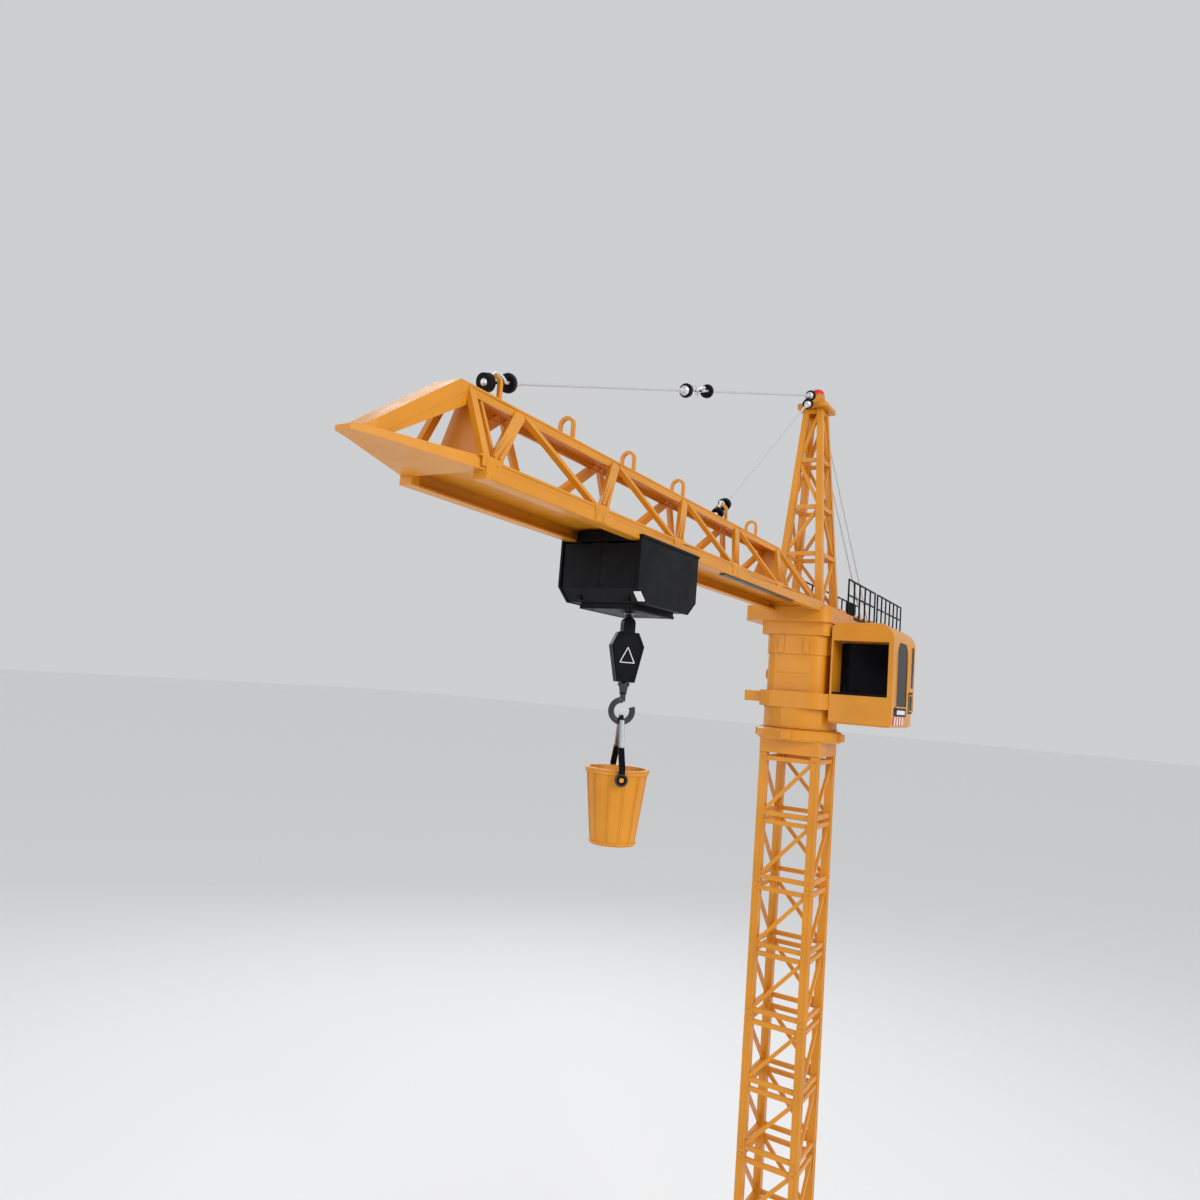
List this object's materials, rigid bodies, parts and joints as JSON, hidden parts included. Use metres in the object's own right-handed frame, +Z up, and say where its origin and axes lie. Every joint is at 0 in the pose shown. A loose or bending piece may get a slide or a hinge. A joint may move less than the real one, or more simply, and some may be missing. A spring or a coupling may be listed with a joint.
{
  "type": "toy tower crane",
  "caption": "Toy tower crane with a lattice mast on four splayed legs, a slewing turret with cab, a jib with travelling hoist trolley, hook and bucket, and a counter-jib.",
  "frame": {"origin": "on the floor at the centre of the bounding box, midway between the jib tip and the counter-jib end; the mast axis is at x = +0.1615 m", "axes": "+Z up along the mast, the jib points along -X, the cab is on the -Y side"},
  "size_m": [1.023, 0.2578, 1.28],
  "materials": {
    "yellow": "satin",
    "black": "satin",
    "window": "gloss",
    "red_lens": "gloss",
    "steel": "bright",
    "dark_steel": "satin",
    "iron": "raw",
    "white_nylon": "satin",
    "circuit": "satin",
    "cord": "braided"
  },
  "bodies": {
    "base": {"base_hub": "black", "base_brace": "black", "leg_1": "black", "leg_2": "black", "leg_3": "black", "leg_4": "black", "mast_section_1": "yellow", "mast_section_2": "yellow", "mast_section_3": "yellow", "mast_section_4": "yellow", "mast_section_5": "yellow", "mast_head": "yellow", "slew_gear": "white_nylon"},
    "turret": {"turret_housing": "yellow", "turret_deck": "yellow", "slew_motor": "steel", "control_board": "circuit", "battery_pack": "black", "battery_cover": "yellow", "cab_shell": "yellow", "cab_window_front": "window", "cab_window_side": "window", "cab_window_rear": "window", "cab_console": "black", "a_frame": "yellow", "a_frame_cap": "yellow", "beacon": "red_lens", "jib_tip": "yellow", "jib_middle": "yellow", "jib_root": "yellow", "contact_strip": "dark_steel", "tie_clip_tip": "black", "tie_clip_low": "black", "tie_clip_middle": "black", "tie_clip_head": "black", "tie_rod_outer": "steel", "tie_rod_inner": "steel", "tie_rod_short": "steel", "tie_rod_rear": "dark_steel", "counter_jib": "yellow", "railing_near": "black", "railing_far": "black", "counterweight_box": "black", "counterweight_ballast": "iron"},
    "pinion": {"slew_pinion": "white_nylon"},
    "switch": {"power_switch": "black"},
    "trolley": {"trolley_housing": "black", "trolley_plate_near": "black", "trolley_plate_far": "black", "winch_motor": "steel", "travel_motor": "steel"},
    "axle_outer": {"trolley_axle_outer": "steel"},
    "axle_inner": {"trolley_axle_inner": "steel"},
    "drum": {"winch_drum": "white_nylon"},
    "block": {"block_shell_outer": "black", "block_shell_inner": "black", "hoist_cord": "cord"},
    "hook": {"hook": "dark_steel"},
    "bail": {"bail": "black"},
    "bucket": {"bucket": "yellow"}
  },
  "joints": [
    {"name": "slew", "type": "hinge", "parent": "base", "child": "turret", "pos_m": [0.1615, 0, 0.8935], "axis": [0, 0, 1], "range_deg": [-340, 340]},
    {"name": "slew_pinion_spin", "type": "hinge", "parent": "turret", "child": "pinion", "pos_m": [0.14428, 0.01722, 0.9015], "axis": [0, 0, 1], "range_deg": [-1025, 1025]},
    {"name": "power_switch_slide", "type": "slide", "parent": "turret", "child": "switch", "axis": [0, 1, 0], "range_m": [0, 0.0035]},
    {"name": "trolley_travel", "type": "slide", "parent": "turret", "child": "trolley", "axis": [1, 0, 0], "range_m": [-0.155, 0.285]},
    {"name": "axle_outer_spin", "type": "hinge", "parent": "trolley", "child": "axle_outer", "pos_m": [-0.272, 0, 1.0253], "axis": [0, 1, 0], "range_deg": [-2600, 4700]},
    {"name": "axle_inner_spin", "type": "hinge", "parent": "trolley", "child": "axle_inner", "pos_m": [-0.208, 0, 1.0253], "axis": [0, 1, 0], "range_deg": [-2600, 4700]},
    {"name": "hoist", "type": "slide", "parent": "trolley", "child": "block", "axis": [0, 0, -1], "range_m": [0, 0.75], "deforming": ["hoist_cord"]},
    {"name": "drum_spin", "type": "hinge", "parent": "trolley", "child": "drum", "pos_m": [-0.247, 0, 0.9995], "axis": [0, 1, 0], "range_deg": [-10, 5050]},
    {"name": "hook_swivel", "type": "hinge", "parent": "block", "child": "hook", "pos_m": [-0.2384, 0, 0.9269], "axis": [0, 0, 1], "range_deg": [-180, 180]},
    {"name": "bail_swing", "type": "hinge", "parent": "hook", "child": "bail", "pos_m": [-0.2384, 0, 0.9029], "axis": [-0.7986, -0.6018, 0], "range_deg": [-25, 25]},
    {"name": "bucket_tilt", "type": "hinge", "parent": "bail", "child": "bucket", "pos_m": [-0.2384, 0, 0.861], "axis": [-0.7986, -0.6018, 0], "range_deg": [-40, 40]}
  ],
  "couplings": [
    {"joint": "slew_pinion_spin", "follows": "slew", "ratio": 3},
    {"joint": "axle_outer_spin", "follows": "trolley_travel", "rad_per_m": 285.71},
    {"joint": "axle_inner_spin", "follows": "trolley_travel", "rad_per_m": 285.71},
    {"joint": "drum_spin", "follows": "hoist", "rad_per_m": 116.28}
  ]
}
